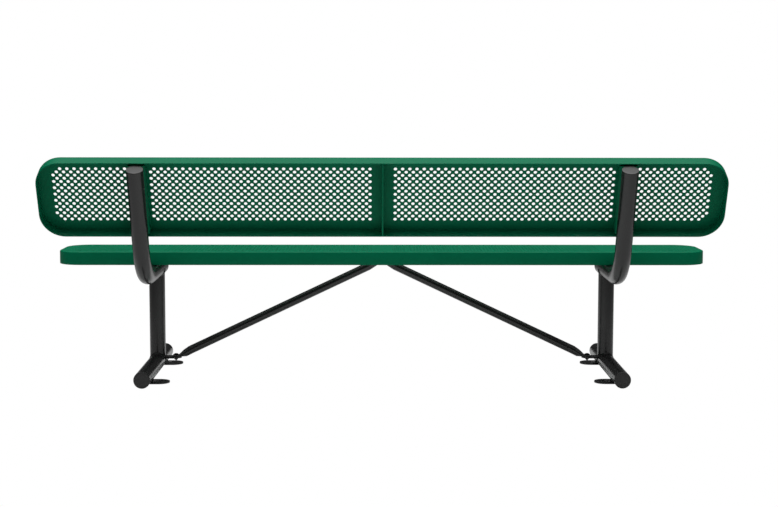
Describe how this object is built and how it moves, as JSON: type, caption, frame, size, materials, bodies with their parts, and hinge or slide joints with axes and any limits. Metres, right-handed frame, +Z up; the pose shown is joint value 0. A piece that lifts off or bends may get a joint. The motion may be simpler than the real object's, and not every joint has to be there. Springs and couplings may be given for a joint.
{
  "type": "park bench",
  "caption": "Long park bench with a backrest: perforated, coated steel seat and back planks on a bent tube frame with diagonal braces and surface-mount feet.",
  "frame": {"origin": "on the floor, under the middle of the bench's box", "axes": "+X along the length, to the right of someone who looks at the bench from its front; -Y the way a sitter faces; +Z up"},
  "size_m": [2.442, 0.8098, 0.8311],
  "materials": {
    "green_coated_steel": "thick glossy green plastic coating on perforated steel",
    "black_coated_steel": "glossy black powder coat",
    "end_cap_plastic": "satin black moulded plastic",
    "fastener_steel": "dark plated steel"
  },
  "bodies": {
    "root": {"anchor_tab_left_front": "black_coated_steel", "anchor_tab_left_rear": "black_coated_steel", "anchor_tab_right_front": "black_coated_steel", "anchor_tab_right_rear": "black_coated_steel", "arm_cap_left": "end_cap_plastic", "arm_cap_right": "end_cap_plastic", "back_bolt_left_a": "fastener_steel", "back_bolt_left_b": "fastener_steel", "back_bolt_right_a": "fastener_steel", "back_bolt_right_b": "fastener_steel", "back_centre_rib": "green_coated_steel", "back_channel_left": "green_coated_steel", "back_channel_right": "green_coated_steel", "back_panel": "green_coated_steel", "brace_left": "black_coated_steel", "brace_lug_left": "black_coated_steel", "brace_lug_right": "black_coated_steel", "brace_right": "black_coated_steel", "foot_cap_left_front": "end_cap_plastic", "foot_cap_left_rear": "end_cap_plastic", "foot_cap_right_front": "end_cap_plastic", "foot_cap_right_rear": "end_cap_plastic", "foot_tube_left": "black_coated_steel", "foot_tube_right": "black_coated_steel", "frame_tube_left": "black_coated_steel", "frame_tube_right": "black_coated_steel", "lug_left_bolt": "fastener_steel", "lug_left_nut": "fastener_steel", "lug_right_bolt": "fastener_steel", "lug_right_nut": "fastener_steel", "post_left": "black_coated_steel", "post_right": "black_coated_steel", "rib_bolt": "fastener_steel", "rib_nut": "fastener_steel", "seat_bolt_left_a": "fastener_steel", "seat_bolt_left_b": "fastener_steel", "seat_bolt_right_a": "fastener_steel", "seat_bolt_right_b": "fastener_steel", "seat_centre_rib": "green_coated_steel", "seat_channel_left": "green_coated_steel", "seat_channel_right": "green_coated_steel", "seat_panel": "green_coated_steel", "upright_cap_left": "end_cap_plastic", "upright_cap_right": "end_cap_plastic"}
  },
  "joints": []
}
